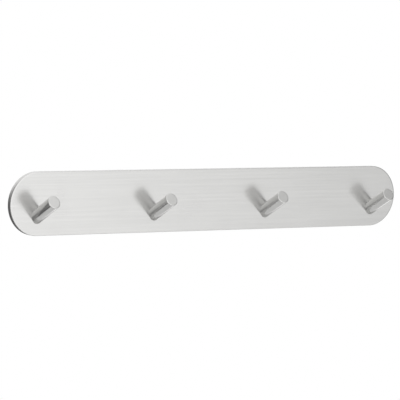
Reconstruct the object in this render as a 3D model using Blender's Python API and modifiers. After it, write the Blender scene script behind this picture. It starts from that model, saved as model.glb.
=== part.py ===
"""Wall hook rack: a flat steel rail with round ends, four pegs that lean upwards, and foam tape behind.

The wall is the plane Y = 0, the rack stands off it towards -Y, X runs along the rail and Z is up.
The origin is on the wall, behind the middle of the rail. All sizes are in metres.
"""

import math

import bmesh
import bpy

# Rail
RAIL_LENGTH = 0.380
RAIL_HEIGHT = 0.050
RAIL_THICKNESS = 0.004
RAIL_EDGE_RADIUS = 0.0005

# Pegs
PEG_COUNT = 4
PEG_END_MARGIN = 0.025  # from the rail's end to the middle of the last peg's foot
PEG_DROP = 0.0095  # the middle of a peg's foot below the rail's centre line
PEG_DIAMETER = 0.0105
PEG_LENGTH = 0.0265  # along the axis, from the rail's face to the tip
PEG_LEAN = math.radians(30.0)  # above level
PEG_TIP_CHAMFER = 0.0004

# Foam tape
TAPE_THICKNESS = 0.001
TAPE_INSET = 0.0015  # from the rail's edge
TAPE_BREAK = 0.014  # bare width behind each peg, which leaves its screw free

# Countersunk screws
SCREW_DIAMETER = 0.003
SCREW_LENGTH = 0.008  # overall
SCREW_HEAD_DIAMETER = 0.0055
SCREW_HEAD_LAND = 0.00035  # straight rim above the 45 degree cone
SOCKET_WIDTH = 0.002  # across the flats
SOCKET_DEPTH = 0.0009

# Locating pins
PIN_DIAMETER = 0.0015
PIN_LENGTH = 0.008

# Fits
GAP = 0.0003  # between pieces that touch, and all round a screw or pin in its hole
FASTENER_RECESS = 0.00015  # screw and pin ends below the rail's back
PIN_TO_PEG_EDGE = 0.0006  # metal left outside a pin's hole in the peg's foot
PIN_TO_SCREW_HEAD = 0.0004  # metal left between a pin's hole and the countersink
CUT_EXTRA = 0.002  # how far a cutter runs past what it cuts

ROUND_STEPS = 48
FASTENER_STEPS = 24
OUTLINE_STEPS = 14  # on each quarter of a round end

# Planes across the rack, from the wall outwards
RAIL_BACK = -TAPE_THICKNESS
RAIL_FACE = RAIL_BACK - RAIL_THICKNESS
PEG_FOOT = RAIL_FACE - GAP
FASTENER_START = RAIL_BACK - FASTENER_RECESS

PEG_PITCH = (RAIL_LENGTH - 2 * PEG_END_MARGIN) / (PEG_COUNT - 1)
PEG_PLACES = [(number - (PEG_COUNT - 1) / 2) * PEG_PITCH for number in range(PEG_COUNT)]

# Heights in the peg's foot, which is an ellipse
FOOT_HALF_HEIGHT = PEG_DIAMETER / 2 / math.cos(PEG_LEAN)
PIN_HOLE_RADIUS = PIN_DIAMETER / 2 + GAP
COUNTERSINK_RADIUS = SCREW_HEAD_DIAMETER / 2 + GAP
PIN_Z = -PEG_DROP + FOOT_HALF_HEIGHT - PIN_TO_PEG_EDGE - PIN_HOLE_RADIUS
SCREW_Z = PIN_Z - PIN_HOLE_RADIUS - PIN_TO_SCREW_HEAD - COUNTERSINK_RADIUS

# Turns that point a piece's own Z out into the room, or back at the wall
FACING_OUT = (math.radians(90.0), 0.0, 0.0)
FACING_WALL = (math.radians(-90.0), 0.0, 0.0)


def clear_scene():
    """Remove what the startup file holds."""
    for existing in list(bpy.data.objects):
        bpy.data.objects.remove(existing, do_unlink=True)


def new_collection(name, hidden=False):
    collection = bpy.data.collections.new(name)
    collection.hide_render = hidden
    bpy.context.scene.collection.children.link(collection)
    return collection


def new_material(name, colour, metallic, roughness):
    material = bpy.data.materials.new(name)
    material.use_nodes = True
    shader = material.node_tree.nodes["Principled BSDF"]
    shader.inputs["Base Color"].default_value = (*colour, 1.0)
    shader.inputs["Metallic"].default_value = metallic
    shader.inputs["Roughness"].default_value = roughness
    return material


def new_object(name, mesh, collection, location=(0, 0, 0), rotation=(0, 0, 0), material=None):
    """Link a mesh object; a part takes a material, and a cutter takes none and is hidden."""
    made = bpy.data.objects.new(name, mesh)
    made.location = location
    made.rotation_euler = rotation
    collection.objects.link(made)
    if material:
        mesh.materials.clear()
        mesh.materials.append(material)
    else:
        made.hide_render = True
        made.display_type = "WIRE"
    return made


def add_boolean(target, cutter, operation="DIFFERENCE"):
    modifier = target.modifiers.new(cutter.name, "BOOLEAN")
    modifier.operation = operation
    modifier.solver = "EXACT"
    modifier.object = cutter


def turned(name, profile, steps, collection, **placing):
    """A solid of revolution about local Z; the profile lists (radius, height) from the top down."""
    mesh = bpy.data.meshes.new(name)
    points = [(radius, 0.0, height) for radius, height in profile]
    mesh.from_pydata(points, [(i, i + 1) for i in range(len(points) - 1)], [])
    made = new_object(name, mesh, collection, **placing)
    screw = made.modifiers.new("Turned", "SCREW")
    screw.angle = math.tau
    screw.steps = screw.render_steps = steps
    screw.use_merge_vertices = True
    screw.merge_threshold = 0.00001
    screw.use_smooth_shade = True
    return made


def box(name, low, high, collection):
    """A cutter box between two corners."""
    mesh = bpy.data.meshes.new(name)
    shape = bmesh.new()
    bmesh.ops.create_cube(shape, size=1.0)
    bmesh.ops.scale(shape, vec=[b - a for a, b in zip(low, high)], verts=shape.verts)
    bmesh.ops.translate(shape, vec=[(a + b) / 2 for a, b in zip(low, high)], verts=shape.verts)
    shape.to_mesh(mesh)
    shape.free()
    return new_object(name, mesh, collection)


def stadium_mesh(name, length, height, thickness):
    """A flat slab with full-radius ends, on local XY, with its middle at the origin."""
    radius = height / 2
    handle = radius * 4 / 3 * math.tan(math.radians(90.0) / 4)  # draws a quarter circle
    middle = length / 2 - radius
    knots = [
        ((middle, radius), (handle, 0)),
        ((middle + radius, 0), (0, -handle)),
        ((middle, -radius), (-handle, 0)),
        ((-middle, -radius), (-handle, 0)),
        ((-middle - radius, 0), (0, handle)),
        ((-middle, radius), (handle, 0)),
    ]
    curve = bpy.data.curves.new(name, "CURVE")
    curve.dimensions = "2D"
    curve.fill_mode = "BOTH"
    curve.extrude = thickness / 2
    curve.resolution_u = OUTLINE_STEPS
    spline = curve.splines.new("BEZIER")
    spline.bezier_points.add(len(knots) - 1)
    spline.use_cyclic_u = True
    for point, ((x, y), (along_x, along_y)) in zip(spline.bezier_points, knots):
        point.co = (x, y, 0)
        point.handle_left = (x - along_x, y - along_y, 0)
        point.handle_right = (x + along_x, y + along_y, 0)
    drawn = bpy.data.objects.new(name, curve)
    bpy.context.scene.collection.objects.link(drawn)
    evaluated = drawn.evaluated_get(bpy.context.evaluated_depsgraph_get())
    mesh = bpy.data.meshes.new_from_object(evaluated)
    bpy.data.objects.remove(drawn, do_unlink=True)
    shape = bmesh.new()
    shape.from_mesh(mesh)
    bmesh.ops.remove_doubles(shape, verts=shape.verts, dist=0.000001)
    bmesh.ops.dissolve_limit(shape, angle_limit=math.radians(0.5), verts=shape.verts, edges=shape.edges)
    bmesh.ops.recalc_face_normals(shape, faces=shape.faces)
    shape.to_mesh(mesh)
    shape.free()
    return mesh


def round_front_edge(rail):
    """Round the rim of the rail's visible face, and leave the rim against the wall square."""
    shape = bmesh.new()
    shape.from_mesh(rail.data)
    weights = shape.edges.layers.float.new("bevel_weight_edge")
    for edge in shape.edges:
        on_face = all(vertex.co.z > 0 for vertex in edge.verts)
        edge[weights] = 1.0 if on_face and edge.calc_face_angle() > math.radians(45.0) else 0.0
    shape.to_mesh(rail.data)
    shape.free()
    bevel = rail.modifiers.new("Front edge", "BEVEL")
    bevel.limit_method = "WEIGHT"
    bevel.width = RAIL_EDGE_RADIUS
    bevel.segments = 3
    bevel.use_clamp_overlap = False


def screw_profile(clearance, above_head, far_end):
    """(radius, height) round a countersunk screw, grown by a clearance; heights fall away from the head."""
    corner_shift = clearance * math.tan(math.radians(22.5))
    shank = SCREW_DIAMETER / 2 + clearance
    head = SCREW_HEAD_DIAMETER / 2 + clearance
    land_end = SCREW_HEAD_LAND + corner_shift
    cone_end = land_end + head - shank
    return [
        (0.0, above_head),
        (head, above_head),
        (head, -land_end),
        (shank, -cone_end),
        (shank, -far_end),
        (0.0, -far_end),
    ]


def make_rail(parts, material):
    mesh = stadium_mesh("rail", RAIL_LENGTH, RAIL_HEIGHT, RAIL_THICKNESS)
    middle = (0.0, (RAIL_BACK + RAIL_FACE) / 2, 0.0)
    rail = new_object("back_plate", mesh, parts, middle, FACING_OUT, material)
    round_front_edge(rail)
    return rail


def make_peg(number, x, parts, material):
    """A round bar with a chamfered tip; its foot is left long, to be cut to the rail's face."""
    radius = PEG_DIAMETER / 2
    buried = radius * math.tan(PEG_LEAN) + CUT_EXTRA
    profile = [
        (0.0, PEG_LENGTH),
        (radius - PEG_TIP_CHAMFER, PEG_LENGTH),
        (radius, PEG_LENGTH - PEG_TIP_CHAMFER),
        (radius, -buried),
        (0.0, -buried),
    ]
    place = {"location": (x, RAIL_FACE, -PEG_DROP), "rotation": (math.radians(90.0) - PEG_LEAN, 0, 0)}
    return turned(f"hook_peg_{number}", profile, ROUND_STEPS, parts, material=material, **place)


def make_screw(number, x, parts, cutters, material):
    place = {"location": (x, FASTENER_START, SCREW_Z), "rotation": FACING_WALL}
    profile = screw_profile(0.0, 0.0, SCREW_LENGTH)
    screw = turned(f"peg_screw_{number}", profile, FASTENER_STEPS, parts, material=material, **place)
    corner_radius = SOCKET_WIDTH / 2 / math.cos(math.radians(30.0))
    profile = [
        (0.0, CUT_EXTRA),
        (corner_radius, CUT_EXTRA),
        (corner_radius, -SOCKET_DEPTH),
        (0.0, -SOCKET_DEPTH),
    ]
    add_boolean(screw, turned(f"screw_socket_{number}", profile, 6, cutters, **place))
    return screw


def make_screw_hole(number, x, cutters):
    place = {"location": (x, FASTENER_START, SCREW_Z), "rotation": FACING_WALL}
    profile = screw_profile(GAP, FASTENER_RECESS + CUT_EXTRA, SCREW_LENGTH + GAP)
    return turned(f"screw_hole_{number}", profile, FASTENER_STEPS, cutters, **place)


def pin_shape(name, clearance, above_head, collection, x, material=None):
    radius = PIN_DIAMETER / 2 + clearance
    far_end = PIN_LENGTH + clearance
    profile = [(0.0, above_head), (radius, above_head), (radius, -far_end), (0.0, -far_end)]
    place = {"location": (x, FASTENER_START, PIN_Z), "rotation": FACING_WALL}
    return turned(name, profile, FASTENER_STEPS, collection, material=material, **place)


def make_tape_pads(parts, cutters, material):
    """Pads of one inset outline, parted behind every peg."""
    breaks = [-RAIL_LENGTH / 2 - CUT_EXTRA, *PEG_PLACES, RAIL_LENGTH / 2 + CUT_EXTRA]
    bay_names = ["left_end", *(f"bay_{number}" for number in range(1, PEG_COUNT)), "right_end"]
    middle = (0.0, -(TAPE_THICKNESS - GAP) / 2, 0.0)
    pads = []
    for name, start, end in zip(bay_names, breaks, breaks[1:]):
        low = start if start == breaks[0] else start + TAPE_BREAK / 2
        high = end if end == breaks[-1] else end - TAPE_BREAK / 2
        mesh = stadium_mesh(
            name, RAIL_LENGTH - 2 * TAPE_INSET, RAIL_HEIGHT - 2 * TAPE_INSET, TAPE_THICKNESS - GAP
        )
        pad = new_object(f"tape_pad_{name}", mesh, parts, middle, FACING_OUT, material)
        bay = box(f"{name}_bay", (low, -CUT_EXTRA, -RAIL_HEIGHT), (high, CUT_EXTRA, RAIL_HEIGHT), cutters)
        add_boolean(pad, bay, "INTERSECT")
        pads.append(pad)
    return pads


def main():
    clear_scene()
    parts = new_collection("wall_hook_rack")
    cutters = new_collection("cutters", hidden=True)
    rail_steel = new_material("Brushed rail steel", (0.62, 0.62, 0.61), 1.0, 0.35)
    peg_steel = new_material("Turned peg steel", (0.60, 0.60, 0.60), 1.0, 0.22)
    screw_steel = new_material("Screw steel", (0.45, 0.45, 0.46), 1.0, 0.30)
    pin_steel = new_material("Pin steel", (0.50, 0.50, 0.50), 1.0, 0.25)
    tape_foam = new_material("Foam tape", (0.05, 0.05, 0.055), 0.0, 0.85)

    rack = bpy.data.objects.new("wall_hook_rack_root", None)
    parts.objects.link(rack)
    rail = make_rail(parts, rail_steel)
    pieces = [rail]
    foot_cutter_back = PEG_FOOT + PEG_DIAMETER + CUT_EXTRA
    foot_cutter = box(
        "behind_rail_face",
        (-RAIL_LENGTH, PEG_FOOT, -RAIL_HEIGHT),
        (RAIL_LENGTH, foot_cutter_back, RAIL_HEIGHT),
        cutters,
    )
    for number, x in enumerate(PEG_PLACES, start=1):
        peg = make_peg(number, x, parts, peg_steel)
        screw = make_screw(number, x, parts, cutters, screw_steel)
        pin = pin_shape(f"locating_pin_{number}", 0.0, 0.0, parts, x, pin_steel)
        screw_hole = make_screw_hole(number, x, cutters)
        pin_hole = pin_shape(f"pin_hole_{number}", GAP, FASTENER_RECESS + CUT_EXTRA, cutters, x)
        add_boolean(peg, foot_cutter)
        for drilled in (rail, peg):
            add_boolean(drilled, screw_hole)
            add_boolean(drilled, pin_hole)
        pieces += [peg, screw, pin]
    pieces += make_tape_pads(parts, cutters, tape_foam)
    for piece in pieces:
        piece.parent = rack


if __name__ == "__main__":
    main()
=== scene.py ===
"""Looks of a wall hook rack: a brushed steel rail with round ends, four leaning pegs and foam tape behind.

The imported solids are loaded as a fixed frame, and every finished piece here stands for one of them.
X runs along the rail, +Y points into the wall, Z is up, and all sizes are in metres.
"""

from __future__ import annotations

import logging
import math
from collections.abc import Callable, Iterator
from contextlib import contextmanager
from dataclasses import dataclass, field
from enum import Enum

import bmesh
import bpy
from mathutils import Matrix, Vector

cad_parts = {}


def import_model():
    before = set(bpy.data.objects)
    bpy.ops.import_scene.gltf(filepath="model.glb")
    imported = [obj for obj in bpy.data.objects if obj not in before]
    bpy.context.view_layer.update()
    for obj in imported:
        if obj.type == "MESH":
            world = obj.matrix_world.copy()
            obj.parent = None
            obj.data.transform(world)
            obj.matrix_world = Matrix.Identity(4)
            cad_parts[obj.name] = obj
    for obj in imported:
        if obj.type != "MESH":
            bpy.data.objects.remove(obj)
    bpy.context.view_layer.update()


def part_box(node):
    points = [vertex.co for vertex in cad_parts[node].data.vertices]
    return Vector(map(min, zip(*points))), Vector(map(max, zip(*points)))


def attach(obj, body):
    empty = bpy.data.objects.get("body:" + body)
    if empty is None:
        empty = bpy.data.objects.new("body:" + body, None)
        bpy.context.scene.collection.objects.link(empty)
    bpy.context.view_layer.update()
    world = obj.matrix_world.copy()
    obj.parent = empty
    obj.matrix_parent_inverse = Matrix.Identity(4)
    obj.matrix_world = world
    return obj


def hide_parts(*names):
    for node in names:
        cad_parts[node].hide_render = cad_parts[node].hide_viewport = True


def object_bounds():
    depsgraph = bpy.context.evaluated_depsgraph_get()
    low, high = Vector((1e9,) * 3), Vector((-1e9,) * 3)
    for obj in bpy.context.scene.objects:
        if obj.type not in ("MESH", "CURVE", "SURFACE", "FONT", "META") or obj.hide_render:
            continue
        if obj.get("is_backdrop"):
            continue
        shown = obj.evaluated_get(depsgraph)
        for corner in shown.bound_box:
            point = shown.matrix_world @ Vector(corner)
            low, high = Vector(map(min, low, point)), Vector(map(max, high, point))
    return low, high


BODY = "root"
LOG = logging.getLogger("hook_rack")

WHITE = (1.0, 1.0, 1.0, 1.0)
SAME_PLACE = 0.00001  # two lengths that differ by less are the same
SQUARE_ON = 0.999  # the cosine above which a face counts as square to a direction
ALONG_Y = (math.pi / 2, 0.0, 0.0)  # the turn that lays an upright bar along Y

Colour = tuple[float, float, float]
Point = tuple[float, float, float]
Span = tuple[float, float]


class Slot(Enum):
    """The material slots' names."""

    RAIL = "rail_steel"
    PEG = "peg_steel"
    SCREW = "screw_steel"
    PIN = "pin_steel"
    TAPE = "foam_tape"


# ---------------------------------------------------------------------------
# Shader nodes
# ---------------------------------------------------------------------------


class Value:
    """A number socket that takes ordinary arithmetic, each step of which adds a Math node."""

    def __init__(self, graph: Graph, socket: bpy.types.NodeSocket) -> None:
        """Wrap one output socket of a graph.

        Args:
            graph: the node tree that the socket belongs to.
            socket: the output socket.
        """
        self.graph = graph
        self.socket = socket

    def step(self, operation: str, *others: Value | float) -> Value:
        """Add a Math node that starts from this value.

        Args:
            operation: the Math node's operation.
            others: its second and third inputs.

        Returns:
            The node's result.
        """
        return self.graph.math(operation, self, *others)

    def __add__(self, other: Value | float) -> Value:
        """Sum."""
        return self.step("ADD", other)

    __radd__ = __add__

    def __mul__(self, other: Value | float) -> Value:
        """Product."""
        return self.step("MULTIPLY", other)

    def __sub__(self, other: Value | float) -> Value:
        """Difference."""
        return self.step("SUBTRACT", other)

    def __rsub__(self, other: float) -> Value:
        """Difference from a plain number."""
        return self.graph.math("SUBTRACT", other, self)

    def __truediv__(self, other: Value | float) -> Value:
        """Quotient."""
        return self.step("DIVIDE", other)

    def __pow__(self, other: Value | float) -> Value:
        """Power."""
        return self.step("POWER", other)

    def swing(self, size: float) -> Value:
        """A pattern of 0 to 1 turned into a swing about zero."""
        return (self - 0.5) * size

    def fade(self, start: float, end: float) -> Value:
        """Turn the value into a smooth 0 to 1 step.

        Args:
            start: where the step is 0.
            end: where the step is 1, on either side of start.

        Returns:
            The eased step.
        """
        node = self.graph.add(
            "ShaderNodeMapRange",
            {"interpolation_type": "SMOOTHSTEP"},
            {"Value": self, "From Min": start, "From Max": end},
        )
        return Value(self.graph, node.outputs["Result"])


class Graph:
    """One node tree, and the few ways that nodes are added to it."""

    def __init__(self, tree: bpy.types.NodeTree) -> None:
        """Empty a node tree and take it over."""
        tree.nodes.clear()
        self.tree = tree

    def add(
        self, kind: str, settings: dict | None = None, inputs: dict | None = None
    ) -> bpy.types.Node:
        """Add any node.

        Args:
            kind: the node's type.
            settings: its properties, set first.
            inputs: values or links by socket name or number.

        Returns:
            The new node.
        """
        node = self.tree.nodes.new(kind)
        for key, value in (settings or {}).items():
            setattr(node, key, value)
        for key, value in (inputs or {}).items():
            socket = node.inputs[key]
            if isinstance(value, Value):
                self.tree.links.new(value.socket, socket)
            elif isinstance(value, bpy.types.NodeSocket):
                self.tree.links.new(value, socket)
            else:
                socket.default_value = value
        return node

    def math(self, operation: str, *values: Value | float) -> Value:
        """Add a Math node.

        Args:
            operation: the node's operation.
            values: its inputs in order.

        Returns:
            The node's result.
        """
        node = self.add(
            "ShaderNodeMath", {"operation": operation}, dict(enumerate(values))
        )
        return Value(self, node.outputs[0])

    def mix(
        self,
        factor: Value | float,
        first: Colour | bpy.types.NodeSocket,
        second: Colour | bpy.types.NodeSocket,
    ) -> bpy.types.NodeSocket:
        """Mix two colours.

        Args:
            factor: 0 gives the first, 1 the second.
            first: a colour or a colour socket.
            second: a colour or a colour socket.

        Returns:
            The mixed colour's socket.
        """
        ends = [(*end, 1.0) if isinstance(end, tuple) else end for end in (first, second)]
        node = self.add(
            "ShaderNodeMix",
            {"data_type": "RGBA", "clamp_factor": True},
            {0: factor, 6: ends[0], 7: ends[1]},
        )
        return node.outputs[2]

    def place(
        self,
        scale: Point = (1.0, 1.0, 1.0),
        turn: Point = (0.0, 0.0, 0.0),
        shift: Point = (0.0, 0.0, 0.0),
    ) -> bpy.types.NodeSocket:
        """Object coordinates, moved, turned and stretched for a pattern.

        Args:
            scale: stretch along the turned axes.
            turn: rotation in radians.
            shift: location.

        Returns:
            The vector socket.
        """
        source = self.add("ShaderNodeTexCoord").outputs["Object"]
        turned = self.add(
            "ShaderNodeMapping",
            {"vector_type": "POINT"},
            {"Vector": source, "Location": shift, "Rotation": turn},
        ).outputs["Vector"]
        return self.add(
            "ShaderNodeMapping",
            {"vector_type": "POINT"},
            {"Vector": turned, "Scale": scale},
        ).outputs["Vector"]

    def axis(self, vector: bpy.types.NodeSocket, name: str) -> Value:
        """One axis of a vector, by its letter."""
        node = self.add("ShaderNodeSeparateXYZ", inputs={"Vector": vector})
        return Value(self, node.outputs[name])

    def noise(
        self,
        vector: bpy.types.NodeSocket,
        detail: float = 2.0,
        roughness: float = 0.5,
        distortion: float = 0.0,
    ) -> Value:
        """Soft noise at one cycle per unit of the vector.

        Args:
            vector: where the pattern is read.
            detail: how many finer layers are added.
            roughness: how strong the finer layers are.
            distortion: how far the pattern is pulled about.

        Returns:
            The noise, about 0.5.
        """
        node = self.add(
            "ShaderNodeTexNoise",
            {"noise_dimensions": "3D"},
            {
                "Vector": vector,
                "Scale": 1.0,
                "Detail": detail,
                "Roughness": roughness,
                "Distortion": distortion,
            },
        )
        return Value(self, node.outputs["Fac"])

    def cells(self, vector: bpy.types.NodeSocket) -> Value:
        """Distance in a cell pattern of one cell per unit of the vector."""
        node = self.add("ShaderNodeTexVoronoi", inputs={"Vector": vector, "Scale": 1.0})
        return Value(self, node.outputs["Distance"])

    def bump(
        self, height: Value, depth: float, under: bpy.types.NodeSocket | None = None
    ) -> bpy.types.NodeSocket:
        """A Bump node.

        Args:
            height: the pattern, 0 to 1.
            depth: its height in metres.
            under: a normal that this one is laid on.

        Returns:
            The normal's socket.
        """
        inputs = {"Height": height, "Distance": depth, "Strength": 1.0}
        if under is not None:
            inputs["Normal"] = under
        return self.add("ShaderNodeBump", inputs=inputs).outputs["Normal"]


def new_material(name: str, colour: Colour) -> tuple[bpy.types.Material, Graph]:
    """Make an empty node material.

    Args:
        name: the material's name.
        colour: its colour in a plain solid view.

    Returns:
        The material and its graph.
    """
    material = bpy.data.materials.new(name)
    material.use_nodes = True
    material.diffuse_color = (*colour, 1.0)
    return material, Graph(material.node_tree)


def even(size: float) -> Point:
    """The scale of a pattern that is one size all ways."""
    return (1 / size,) * 3


def lengthwise(size: Span) -> Point:
    """The scale of a pattern drawn out along X, from its length and its width."""
    length, width = size
    return (1 / length, 1 / width, 1 / width)


def close_material(graph: Graph, inputs: dict) -> None:
    """End a graph in one Principled BSDF with these inputs."""
    shader = graph.add("ShaderNodeBsdfPrincipled", inputs=inputs)
    graph.add("ShaderNodeOutputMaterial", inputs={"Surface": shader.outputs["BSDF"]})


# ---------------------------------------------------------------------------
# Finishes
# ---------------------------------------------------------------------------


@dataclass(frozen=True)
class BrushedSteel:
    """Stainless steel sheet with a lengthwise brush."""

    name: str = "brushed_rail_steel"
    colour: Colour = (0.640, 0.638, 0.629)
    shade: Colour = (0.602, 0.600, 0.592)
    contrast: Span = (0.38, 0.62)
    roughness: float = 0.235
    stretch: float = 0.35
    stretch_turn: float = 0.25
    line: Span = (0.045, 0.00035)
    band: Span = (0.13, 0.0015)
    cloud: Span = (0.05, 0.02)
    smudge: float = 0.03
    smudge_shift: Point = (0.31, 0.0, 0.17)
    smudge_share: Span = (0.56, 0.74)
    scratch: Span = (0.03, 0.0007)
    scratch_lean: float = math.radians(7.0)
    scratch_share: Span = (0.80, 0.87)
    groove: float = 0.0000012

    def material(self) -> bpy.types.Material:
        """Build the material: brush lines, broad bands, cloudiness, smudges and a few scratches."""
        material, graph = new_material(self.name, self.colour)
        lines = graph.noise(graph.place(lengthwise(self.line)), 3.0, 0.6)
        bands = graph.noise(graph.place(lengthwise(self.band)), 3.0, 0.6)
        clouds = graph.noise(graph.place(lengthwise(self.cloud)), 3.0, 0.55, 0.6)
        smudges = graph.noise(
            graph.place(even(self.smudge), shift=self.smudge_shift), 2.0
        ).fade(*self.smudge_share)
        scratches = graph.noise(
            graph.place(lengthwise(self.scratch), turn=(0.0, self.scratch_lean, 0.0)), 0.0
        ).fade(*self.scratch_share)
        tone = lines * 0.35 + bands * 0.40 + clouds * 0.25
        gloss = (
            self.roughness
            + lines.swing(0.06)
            + clouds.swing(0.05)
            + smudges * 0.030
            - scratches * 0.04
        )
        close_material(
            graph,
            {
                "Base Color": graph.mix(tone.fade(*self.contrast), self.shade, self.colour),
                "Metallic": 1.0,
                "Roughness": gloss,
                "Anisotropic": self.stretch,
                "Anisotropic Rotation": self.stretch_turn,
                "Normal": graph.bump(lines * 0.8 + scratches * 0.5, self.groove),
            },
        )
        return material


@dataclass(frozen=True)
class DrawnSteel:
    """Stainless steel rod, drawn along its length and faced off at the tip."""

    lean: float
    pitch: float
    tip: Vector
    name: str = "drawn_peg_steel"
    colour: Colour = (0.630, 0.628, 0.618)
    shade: Colour = (0.560, 0.558, 0.548)
    contrast: Span = (0.34, 0.62)
    roughness: float = 0.17
    line_width: float = 0.00045
    line_length: float = 0.009
    grain: float = 0.0009
    wear: float = 0.006
    groove: float = 0.0000015
    ring_feed: float = 0.00022
    tip_depth: float = 0.0002

    def rings(self, graph: Graph) -> tuple[Value, Value]:
        """Turning rings about the axis of whichever peg is nearest.

        Args:
            graph: the material's graph.

        Returns:
            The rings, -1 to 1, and how far the surface belongs to the tip's face, 0 to 1.
        """
        turned = Matrix.Rotation(self.lean, 3, "X") @ self.tip
        square = graph.place(turn=(self.lean, 0.0, 0.0), shift=tuple(-turned))
        along = graph.axis(square, "X") / self.pitch
        side = (along - along.step("ROUND")) * self.pitch
        reach = (side**2.0 + graph.axis(square, "Z") ** 2.0) ** 0.5
        wave = (reach * (2.0 * math.pi / self.ring_feed)).step("SINE")
        return wave, graph.axis(square, "Y").fade(self.tip_depth, self.tip_depth / 4)

    def material(self) -> bpy.types.Material:
        """Build the material: drawing lines along the rod, fine pits and faint rings on the tip."""
        material, graph = new_material(self.name, self.colour)
        turn = (self.lean, 0.0, 0.0)
        lines = graph.noise(
            graph.place(
                (1 / self.line_width, 1 / self.line_length, 1 / self.line_width), turn
            ),
            2.0,
            0.6,
        )
        grain = graph.noise(graph.place(even(self.grain), turn), 3.0, 0.6)
        wear = graph.noise(graph.place(even(self.wear)), 2.0)
        rings, on_tip = self.rings(graph)
        tone = lines * 0.5 + grain * 0.3 + wear * 0.2
        close_material(
            graph,
            {
                "Base Color": graph.mix(tone.fade(*self.contrast), self.shade, self.colour),
                "Metallic": 1.0,
                "Roughness": self.roughness
                + lines.swing(0.08)
                + grain.swing(0.06)
                + wear.swing(0.05),
                "Normal": graph.bump(
                    (1.0 - on_tip) * lines * 0.7 + grain * 0.4 + on_tip * rings * 0.3, self.groove
                ),
            },
        )
        return material


@dataclass(frozen=True)
class FastenerSteel:
    """Small turned steel fasteners with a dull bright finish."""

    name: str
    colour: Colour = (0.50, 0.50, 0.49)
    shade: Colour = (0.36, 0.36, 0.35)
    roughness: float = 0.30
    contrast: Span = (0.35, 0.62)
    grain: float = 0.00025
    ring_width: float = 0.00012
    ring_length: float = 0.004
    wear: float = 0.0011
    groove: float = 0.000002

    def material(self) -> bpy.types.Material:
        """Build the material: fine grain, dull patches and turning marks across the axis."""
        material, graph = new_material(self.name, self.colour)
        grain = graph.noise(graph.place(even(self.grain)), 3.0, 0.6)
        rings = graph.noise(
            graph.place((1 / self.ring_length, 1 / self.ring_width, 1 / self.ring_length)), 1.0
        )
        wear = graph.noise(graph.place(even(self.wear)), 2.0)
        tone = grain * 0.4 + rings * 0.3 + wear * 0.3
        close_material(
            graph,
            {
                "Base Color": graph.mix(tone.fade(*self.contrast), self.shade, self.colour),
                "Metallic": 1.0,
                "Roughness": self.roughness + grain.swing(0.12) + wear.swing(0.14),
                "Normal": graph.bump(grain * 0.6 + rings * 0.4, self.groove),
            },
        )
        return material


@dataclass(frozen=True)
class TapeFoam:
    """Dark closed-cell foam tape with a sticky skin on the wall side."""

    skin_at: float
    name: str = "grey_foam_tape"
    colour: Colour = (0.050, 0.050, 0.052)
    pore: Colour = (0.020, 0.020, 0.021)
    skin: Colour = (0.085, 0.085, 0.088)
    roughness: float = 0.92
    cell: float = 0.00032
    cell_wall: Span = (0.15, 0.75)
    mottle: float = 0.004
    mottle_share: Span = (0.35, 0.65)
    ripple_length: float = 0.012
    ripple_width: float = 0.003
    skin_depth: float = 0.00012
    relief: float = 0.00008

    def material(self) -> bpy.types.Material:
        """Build the material: foam cells on the cut edges and a smoother, rippled skin on the wall side."""
        material, graph = new_material(self.name, self.colour)
        cells = graph.cells(graph.place(even(self.cell)))
        mottle = graph.noise(graph.place(even(self.mottle)), 3.0, 0.6)
        ripple = graph.noise(
            graph.place((1 / self.ripple_length, 1.0, 1 / self.ripple_width)), 2.0
        )
        skin = graph.axis(graph.place(), "Y").fade(self.skin_at - self.skin_depth, self.skin_at)
        foam = graph.mix(cells.fade(*self.cell_wall), self.pore, self.colour)
        glue = graph.mix(mottle.fade(*self.mottle_share), self.colour, self.skin)
        open_cells = (1.0 - skin) * cells
        close_material(
            graph,
            {
                "Base Color": graph.mix(skin, foam, glue),
                "Metallic": 0.0,
                "Roughness": self.roughness - skin * 0.42 + mottle.swing(0.12),
                "Specular IOR Level": 0.35,
                "Normal": graph.bump(
                    open_cells * 0.8 + ripple * skin * 0.35 + mottle * 0.2, self.relief
                ),
            },
        )
        return material


# ---------------------------------------------------------------------------
# Shaping
# ---------------------------------------------------------------------------


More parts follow.
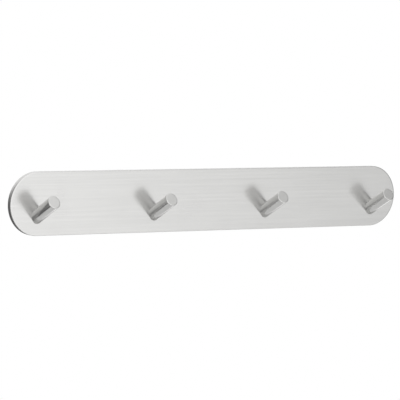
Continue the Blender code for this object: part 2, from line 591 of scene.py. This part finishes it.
class Workpiece:
    """One mesh that is shaped in edit mode with Blender's own operators."""

    def __init__(self, name: str) -> None:
        """Take over the primitive that was just added, with its place in its mesh."""
        self.obj = bpy.context.active_object
        self.obj.name = name
        self.obj.data.name = name
        bpy.ops.object.transform_apply(location=True, rotation=True, scale=True)

    @staticmethod
    def deselect() -> None:
        """Leave edit mode and deselect every object."""
        if bpy.context.mode != "OBJECT":
            bpy.ops.object.mode_set(mode="OBJECT")
        bpy.ops.object.select_all(action="DESELECT")

    def hold(self) -> None:
        """Make this the only selected object."""
        self.deselect()
        self.obj.select_set(True)
        bpy.context.view_layer.objects.active = self.obj

    @contextmanager
    def editing(self, mode: str = "FACE") -> Iterator[None]:
        """Edit mode with nothing selected.

        Args:
            mode: VERT, EDGE or FACE.

        Yields:
            Nothing.
        """
        self.hold()
        bpy.ops.object.mode_set(mode="EDIT")
        bpy.ops.mesh.select_mode(type=mode)
        bpy.ops.mesh.select_all(action="DESELECT")
        yield
        bpy.ops.object.mode_set(mode="OBJECT")

    def pick(self, layer: str, test: Callable[..., bool]) -> None:
        """Select only some parts of the mesh.

        Args:
            layer: verts, edges or faces.
            test: takes one of them, and says whether it is selected.
        """
        bpy.ops.mesh.select_all(action="DESELECT")
        mesh = bmesh.from_edit_mesh(self.obj.data)
        for part in getattr(mesh, layer):
            if test(part):
                part.select_set(True)
        if layer == "verts":
            mesh.select_flush_mode()
        bmesh.update_edit_mesh(self.obj.data)

    def pick_faces(self, test: Callable[[Vector, Vector], bool]) -> None:
        """Select only the faces whose centre and normal pass a test."""
        self.pick("faces", lambda face: test(face.calc_center_median(), face.normal))

    def pick_edges(self, test: Callable[[Vector, Vector], bool]) -> None:
        """Select only the edges whose two ends pass a test."""
        self.pick("edges", lambda edge: test(edge.verts[0].co, edge.verts[1].co))

    def pick_points(self, test: Callable[[Vector], bool]) -> None:
        """Select only the points whose place passes a test."""
        self.pick("verts", lambda vert: test(vert.co))

    @staticmethod
    def round_off(width: float, steps: int) -> None:
        """Round the selected edges."""
        bpy.ops.mesh.bevel(offset=width, segments=steps, profile=0.5, affect="EDGES")

    @staticmethod
    def trim(place: Point, outwards: Point) -> None:
        """Cut the whole mesh at a plane and close it.

        Args:
            place: a point of the plane.
            outwards: points to the side that goes.
        """
        bpy.ops.mesh.select_all(action="SELECT")
        bpy.ops.mesh.bisect(
            plane_co=place, plane_no=outwards, use_fill=True, clear_outer=True
        )

    def cut(self, cutter: Workpiece) -> None:
        """Take another workpiece's shape out of this one, and delete the cutter."""
        self.hold()
        tool = self.obj.modifiers.new("cut", "BOOLEAN")
        tool.operation = "DIFFERENCE"
        tool.solver = "EXACT"
        tool.object = cutter.obj
        bpy.ops.object.modifier_apply(modifier=tool.name)
        bpy.data.objects.remove(cutter.obj)

    def smooth(self, angle: float) -> None:
        """Shade smooth, with edges sharper than an angle in degrees kept."""
        self.hold()
        bpy.ops.object.shade_smooth_by_angle(angle=math.radians(angle))

    def copy(self, name: str, offset: Point) -> Workpiece:
        """Copy the piece with a mesh of its own, moved in the mesh.

        Args:
            name: the copy's name.
            offset: how far the copy is moved.

        Returns:
            The copy.
        """
        self.hold()
        bpy.ops.object.duplicate(linked=False)
        bpy.context.active_object.location = offset
        return Workpiece(name)

    def finish(self, material: bpy.types.Material, slot: Slot, *nodes: str) -> None:
        """Dress the piece, hang it on the frame and hide the CAD nodes that it stands for.

        Args:
            material: its finish.
            slot: not used.
            nodes: the CAD nodes that it replaces.
        """
        self.obj.data.materials.clear()
        self.obj.data.materials.append(material)
        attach(self.obj, BODY)
        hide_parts(*nodes)
        LOG.info("%s: %d faces", self.obj.name, len(self.obj.data.polygons))


def near(first: float, second: float) -> bool:
    """Whether two lengths are the same."""
    return abs(first - second) < SAME_PLACE


def flat_at(*places: float) -> Callable[[Vector, Vector], bool]:
    """A test for edges that lie flat at one of these places along Y."""
    return lambda a, b: any(near(a.y, place) and near(b.y, place) for place in places)


def bar(
    name: str, sides: int, radius: float, length: float, middle: Vector, turn: Point = ALONG_Y
) -> Workpiece:
    """A straight bar of any number of sides.

    Args:
        name: the piece's name.
        sides: how many sides it has.
        radius: from its axis to its corners.
        length: from end to end.
        middle: its middle.
        turn: how it is turned from upright.

    Returns:
        The bar.
    """
    Workpiece.deselect()
    bpy.ops.mesh.primitive_cylinder_add(
        vertices=sides, radius=radius, depth=length, location=middle, rotation=turn
    )
    return Workpiece(name)


def stadium(name: str, low: Vector, high: Vector, sides: int) -> Workpiece:
    """A flat bar with round ends, drawn out of one short cylinder that lies along Y.

    Args:
        name: the piece's name.
        low: its lowest corner.
        high: its highest corner.
        sides: how many sides the two round ends have together.

    Returns:
        The bar.
    """
    size, middle = high - low, (low + high) / 2
    half_side = math.pi / sides
    radius = size.z / 2 / math.cos(half_side)
    piece = bar(name, sides, radius, size.y, middle, (math.pi / 2, half_side, 0.0))
    reach = (size.x - size.z) / 2
    with piece.editing("VERT"):
        for side in (-1, 1):
            piece.pick_points(lambda co, side=side: (co.x - middle.x) * side > 0)
            bpy.ops.transform.translate(value=(side * reach, 0.0, 0.0))
    return piece


# ---------------------------------------------------------------------------
# Sub-assemblies
# ---------------------------------------------------------------------------


@dataclass
class Fasteners:
    """The countersunk screw and the locating pin behind each peg."""

    screw_radius: float = 0.0015
    head_land: float = 0.00035
    head_edge: float = 0.0001
    screw_chamfer: float = 0.0003
    socket_width: float = 0.002
    socket_depth: float = 0.0009
    socket_taper: float = 0.18
    socket_cone: float = 0.00025
    pin_radius: float = 0.00075
    pin_chamfer: float = 0.00018
    pin_steps: int = 2
    hole_play: float = 0.0003
    overrun: float = 0.002
    screw_bore: float = 0.012
    pin_bore: float = 0.016
    sides: int = 48
    pin_sides: int = 32
    screw_smooth: float = 30.0
    pin_smooth: float = 35.0

    def turned(self, name: str, centre: Vector, profile: list[tuple[float, float]]) -> Workpiece:
        """A solid turned about a line along Y, built by extruding a disc and sizing each new ring.

        Args:
            name: the piece's name.
            centre: the first disc's middle.
            profile: distance out from the wall and radius of each ring, the first at distance 0.

        Returns:
            The closed solid.
        """
        Workpiece.deselect()
        bpy.ops.mesh.primitive_circle_add(
            vertices=self.sides,
            radius=profile[0][1],
            fill_type="NGON",
            location=centre,
            rotation=ALONG_Y,
        )
        piece = Workpiece(name)
        with piece.editing():
            bpy.ops.mesh.select_all(action="SELECT")
            for (start, radius), (end, wider) in zip(profile, profile[1:], strict=False):
                bpy.ops.mesh.extrude_region_move(
                    TRANSFORM_OT_translate={"value": (0.0, start - end, 0.0)}
                )
                scale = wider / radius
                bpy.ops.transform.resize(value=(scale, 1.0, scale))
            bpy.ops.mesh.select_all(action="SELECT")
            bpy.ops.mesh.normals_make_consistent(inside=False)
        return piece

    def screw_profile(self, node: str) -> tuple[Vector, list[tuple[float, float]]]:
        """The outline of a screw, from its CAD box.

        Args:
            node: the screw's CAD node.

        Returns:
            The middle of the head's face, and distance and radius of each ring.
        """
        low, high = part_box(node)
        head = (high.x - low.x) / 2
        length = high.y - low.y
        cone = self.head_land + head - self.screw_radius
        centre = Vector(((low.x + high.x) / 2, high.y, (low.z + high.z) / 2))
        return centre, [
            (0.0, head - self.head_edge),
            (self.head_edge, head),
            (self.head_land, head),
            (cone, self.screw_radius),
            (length - self.screw_chamfer, self.screw_radius),
            (length, self.screw_radius - self.screw_chamfer),
        ]

    def screw(self, number: int, material: bpy.types.Material) -> None:
        """Make one screw with its hexagon socket.

        Args:
            number: the peg's number.
            material: its finish.
        """
        node = f"peg_screw_{number}"
        centre, profile = self.screw_profile(node)
        piece = self.turned(f"countersunk_screw_{number}", centre, profile)
        corner = self.socket_width / math.sqrt(3.0)
        socket = bar("socket_cutter", 6, corner, self.socket_depth * 2, centre)
        with socket.editing():
            socket.pick_faces(lambda co, normal: -normal.y > SQUARE_ON)
            bpy.ops.mesh.inset(
                thickness=self.socket_width * self.socket_taper, depth=self.socket_cone
            )
        piece.cut(socket)
        piece.smooth(self.screw_smooth)
        piece.finish(material, Slot.SCREW, node)

    def pin(self, number: int, material: bpy.types.Material) -> None:
        """Make one locating pin with chamfered ends.

        Args:
            number: the peg's number.
            material: its finish.
        """
        node = f"locating_pin_{number}"
        low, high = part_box(node)
        name, middle = f"steel_pin_{number}", (low + high) / 2
        piece = bar(name, self.pin_sides, self.pin_radius, high.y - low.y, middle)
        with piece.editing("EDGE"):
            piece.pick_edges(flat_at(low.y, high.y))
            piece.round_off(self.pin_chamfer, self.pin_steps)
        piece.smooth(self.pin_smooth)
        piece.finish(material, Slot.PIN, node)

    def screw_hole(self, number: int) -> Workpiece:
        """The cutter for a screw's countersunk hole through the rail.

        Args:
            number: the peg's number.

        Returns:
            The cutter.
        """
        centre, profile = self.screw_profile(f"peg_screw_{number}")
        (land, head), (cone, shank) = profile[2], profile[3]
        start = centre + Vector((0.0, self.overrun, 0.0))
        rings = [
            (0.0, head + self.hole_play),
            (self.overrun + land + self.hole_play, head + self.hole_play),
            (self.overrun + cone + self.hole_play, shank + self.hole_play),
            (self.overrun + cone + self.screw_bore, shank + self.hole_play),
        ]
        return self.turned("screw_hole_cutter", start, rings)

    def pin_hole(self, number: int) -> Workpiece:
        """The cutter for a pin's hole through the rail.

        Args:
            number: the peg's number.

        Returns:
            The cutter.
        """
        low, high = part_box(f"locating_pin_{number}")
        centre = (low + high) / 2
        start = Vector((centre.x, high.y + self.overrun, centre.z))
        bore = self.pin_radius + self.hole_play
        return self.turned("pin_hole_cutter", start, [(0.0, bore), (self.pin_bore, bore)])

    def build(self, count: int) -> None:
        """Make every screw and pin.

        Args:
            count: how many pegs there are.
        """
        screw_steel = FastenerSteel("zinc_screw_steel").material()
        pin_steel = FastenerSteel(
            "ground_pin_steel", (0.56, 0.56, 0.55), (0.44, 0.44, 0.43), 0.22
        ).material()
        for number in range(1, count + 1):
            self.screw(number, screw_steel)
            self.pin(number, pin_steel)


@dataclass
class Rail:
    """The flat steel rail with round ends."""

    node: str = "back_plate"
    sides: int = 160
    rim_radius: float = 0.0005
    rim_steps: int = 5
    back_rim: float = 0.00025
    back_steps: int = 3
    land: float = 0.0006
    smooth_angle: float = 40.0
    finish: BrushedSteel = field(default_factory=BrushedSteel)

    def build(self, fasteners: Fasteners, count: int) -> None:
        """Draw out the bar, round its rims and bore it behind every peg.

        Args:
            fasteners: gives the cutters.
            count: how many pegs there are.
        """
        low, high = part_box(self.node)
        piece = stadium("steel_rail", low, high, self.sides)
        with piece.editing("EDGE"):
            piece.pick_edges(flat_at(low.y))
            piece.round_off(self.rim_radius, self.rim_steps)
            piece.pick_edges(flat_at(high.y))
            piece.round_off(self.back_rim, self.back_steps)
        with piece.editing():
            for facing in (-1, 1):
                piece.pick_faces(
                    lambda co, normal, facing=facing: normal.y * facing > SQUARE_ON
                )
                bpy.ops.mesh.inset(thickness=self.land, depth=0.0)
        for number in range(1, count + 1):
            piece.cut(fasteners.screw_hole(number))
            piece.cut(fasteners.pin_hole(number))
        piece.smooth(self.smooth_angle)
        piece.finish(self.finish.material(), Slot.RAIL, self.node)


@dataclass
class Pegs:
    """The round pegs, mitred to the rail's face and leaning upwards."""

    count: int = 4
    lean: float = math.radians(30.0)
    sides: int = 96
    tip_radius: float = 0.00045
    tip_steps: int = 4
    tip_land: float = 0.0003
    cad_chamfer: float = 0.0004
    seat: float = 0.00001
    smooth_angle: float = 40.0

    def build(self) -> None:
        """Model the first peg, then copy it along the rail."""
        low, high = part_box("hook_peg_1")
        rail_low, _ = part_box("back_plate")
        last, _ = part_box(f"hook_peg_{self.count}")
        pitch = (last.x - low.x) / (self.count - 1)
        radius = (high.x - low.x) / 2
        axis = Vector((0.0, -math.cos(self.lean), math.sin(self.lean)))
        trim = self.cad_chamfer * math.sin(self.lean)
        tip = Vector(
            (
                (low.x + high.x) / 2,
                low.y + radius * math.sin(self.lean) - trim,
                high.z - radius * math.cos(self.lean) + trim,
            )
        )
        length = (rail_low.y - low.y) / math.cos(self.lean) + radius
        middle = tip - axis * (length / 2)
        turn = (math.pi / 2 - self.lean, 0.0, 0.0)
        piece = bar("steel_peg_1", self.sides, radius, length, middle, turn)
        with piece.editing():
            piece.trim((0.0, rail_low.y - self.seat, 0.0), (0.0, 1.0, 0.0))
        with piece.editing("EDGE"):
            piece.pick_edges(
                lambda a, b: near((a - tip).dot(axis), 0.0) and near((b - tip).dot(axis), 0.0)
            )
            piece.round_off(self.tip_radius, self.tip_steps)
        with piece.editing():
            piece.pick_faces(lambda co, normal: normal.dot(axis) > SQUARE_ON)
            bpy.ops.mesh.inset(thickness=self.tip_land, depth=0.0)
        piece.smooth(self.smooth_angle)
        steel = DrawnSteel(self.lean, pitch, tip).material()
        copies = [
            piece.copy(f"steel_peg_{number}", (pitch * (number - 1), 0.0, 0.0))
            for number in range(2, self.count + 1)
        ]
        for number, each in enumerate([piece, *copies], 1):
            each.finish(steel, Slot.PEG, f"hook_peg_{number}")


@dataclass
class TapePads:
    """Foam tape behind the rail, in five lengths that leave the screws free."""

    nodes: tuple[str, ...] = (
        "tape_pad_left_end",
        "tape_pad_bay_1",
        "tape_pad_bay_2",
        "tape_pad_bay_3",
        "tape_pad_right_end",
    )
    sides: int = 128
    corner: float = 0.00018
    corner_steps: int = 2
    smooth_angle: float = 40.0
    fullness: float = 1.0

    def build(self) -> None:
        """Cut each pad out of one long strip with round ends, and soften its edges."""
        first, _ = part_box(self.nodes[0])
        _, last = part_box(self.nodes[-1])
        foam = TapeFoam(last.y).material()
        for node in self.nodes:
            low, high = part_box(node)
            piece = stadium(node.replace("tape_pad", "foam_pad"), first, last, self.sides)
            with piece.editing():
                for end, facing in ((low.x, -1.0), (high.x, 1.0)):
                    piece.trim((end, 0.0, 0.0), (facing, 0.0, 0.0))
            with piece.editing("EDGE"):
                piece.pick_edges(flat_at(low.y, high.y))
                piece.round_off(self.corner, self.corner_steps)
            piece.smooth(self.smooth_angle)
            piece.finish(foam, Slot.TAPE, node)


# ---------------------------------------------------------------------------
# Studio
# ---------------------------------------------------------------------------


@dataclass(frozen=True)
class Glow:
    """A soft patch of the studio's surroundings, seen from the rack.

    Azimuth 0 is straight out from the wall and 90 is to the right.
    """

    azimuth: float
    elevation: float
    inner: float
    outer: float
    level: float

    def direction(self) -> Point:
        """The patch's middle as a unit vector."""
        turn, rise = math.radians(self.azimuth), math.radians(self.elevation)
        return (
            math.sin(turn) * math.cos(rise),
            -math.cos(turn) * math.cos(rise),
            math.sin(rise),
        )


@dataclass
class Studio:
    """Plain soft light all round, a pale floor well below the rack, and the camera."""

    base: float = 1.05
    glows: tuple[Glow, ...] = (
        Glow(-14.0, 35.0, 60.0, 79.0, 1.10),
        Glow(30.0, 15.0, 20.0, 55.0, 1.49),
        Glow(85.0, 6.0, 26.0, 60.0, 0.25),
        Glow(-169.0, -32.0, 36.0, 55.0, 0.14),
        Glow(102.0, -55.0, 30.0, 44.0, 1.35),
        Glow(-31.0, -64.0, 42.0, 55.0, 0.12),
        Glow(-108.0, 21.0, 21.0, 58.0, 0.25),
        Glow(-75.0, -35.0, 5.0, 30.0, 1.00),
    )
    floor_depth: float = 0.55
    floor_size: float = 1.5
    floor_right: float = 0.25
    floor_front: float = 0.45
    floor_cuts: int = 6
    floor_patch: float = 0.2
    floor_dim: Colour = (0.88, 0.88, 0.88)
    floor_pale: Colour = (0.92, 0.92, 0.92)
    floor_roughness: float = 0.8
    azimuth: float = 35.84
    elevation: float = 5.51
    roll: float = 2.58
    distance: float = 2.3587
    lens: float = 264.59
    aim_left: float = 0.01108
    sensor: float = 36.0
    sight: Span = (0.05, 50.0)

    def light(self) -> None:
        """Surround the rack with a smooth glow, plain white where the camera looks past it."""
        world = bpy.data.worlds.new("studio")
        world.use_nodes = True
        graph = Graph(world.node_tree)
        looking = graph.add("ShaderNodeTexCoord").outputs["Generated"]
        level: Value | float = self.base
        for glow in self.glows:
            node = graph.add(
                "ShaderNodeVectorMath",
                {"operation": "DOT_PRODUCT"},
                {0: looking, 1: glow.direction()},
            )
            mask = Value(graph, node.outputs["Value"]).fade(
                math.cos(math.radians(glow.outer)), math.cos(math.radians(glow.inner))
            )
            level = mask * glow.level + (1.0 - mask) * level
        lit, plain = (
            graph.add("ShaderNodeBackground", inputs={"Color": WHITE, "Strength": strength})
            for strength in (level, 1.0)
        )
        path = graph.add("ShaderNodeLightPath").outputs["Is Camera Ray"]
        both = graph.add(
            "ShaderNodeMixShader",
            inputs={0: path, 1: lit.outputs[0], 2: plain.outputs[0]},
        )
        graph.add("ShaderNodeOutputWorld", inputs={"Surface": both.outputs[0]})
        bpy.context.scene.world = world
        bpy.context.scene.view_settings.view_transform = "Standard"

    def floor(self) -> None:
        """Lay a pale floor well below the rack."""
        low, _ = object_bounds()
        Workpiece.deselect()
        bpy.ops.mesh.primitive_plane_add(
            size=self.floor_size,
            location=(self.floor_right, low.y - self.floor_front, low.z - self.floor_depth),
        )
        piece = Workpiece("floor")
        with piece.editing():
            bpy.ops.mesh.select_all(action="SELECT")
            bpy.ops.mesh.subdivide(number_cuts=self.floor_cuts)
        material, graph = new_material("pale_floor", self.floor_dim)
        mottle = graph.noise(graph.place(even(self.floor_patch)), 2.0)
        close_material(
            graph,
            {
                "Base Color": graph.mix(mottle, self.floor_dim, self.floor_pale),
                "Roughness": self.floor_roughness,
            },
        )
        piece.obj.data.materials.append(material)
        piece.obj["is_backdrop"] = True

    def camera(self) -> None:
        """Stand the camera in front and to the left, a little above the rack, slightly tilted."""
        low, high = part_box("back_plate")
        turn, rise, roll = (
            math.radians(angle) for angle in (self.azimuth, self.elevation, self.roll)
        )
        ahead = Vector(
            (math.sin(turn) * math.cos(rise), math.cos(turn) * math.cos(rise), -math.sin(rise))
        )
        right = Vector((math.cos(turn), -math.sin(turn), 0.0))
        up = right.cross(ahead)
        side = right * math.cos(roll) + up * math.sin(roll)
        top = up * math.cos(roll) - right * math.sin(roll)
        aim = Vector(((low.x + high.x) / 2 - self.aim_left, low.y, (low.z + high.z) / 2))
        data = bpy.data.cameras.new("camera")
        data.sensor_width = self.sensor
        data.lens = self.lens
        data.clip_start, data.clip_end = self.sight
        camera = bpy.data.objects.new("camera", data)
        camera.matrix_world = Matrix.Translation(aim - ahead * self.distance) @ Matrix(
            (side, top, -ahead)
        ).transposed().to_4x4()
        bpy.context.scene.collection.objects.link(camera)
        bpy.context.scene.camera = camera


def main() -> None:
    """Load the frame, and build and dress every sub-assembly."""
    logging.basicConfig(level=logging.INFO, format="%(name)s: %(message)s")
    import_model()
    fasteners, pegs = Fasteners(), Pegs()
    Rail().build(fasteners, pegs.count)
    pegs.build()
    fasteners.build(pegs.count)
    TapePads().build()
    studio = Studio()
    studio.floor()
    studio.light()
    studio.camera()


if __name__ == "__main__":
    main()
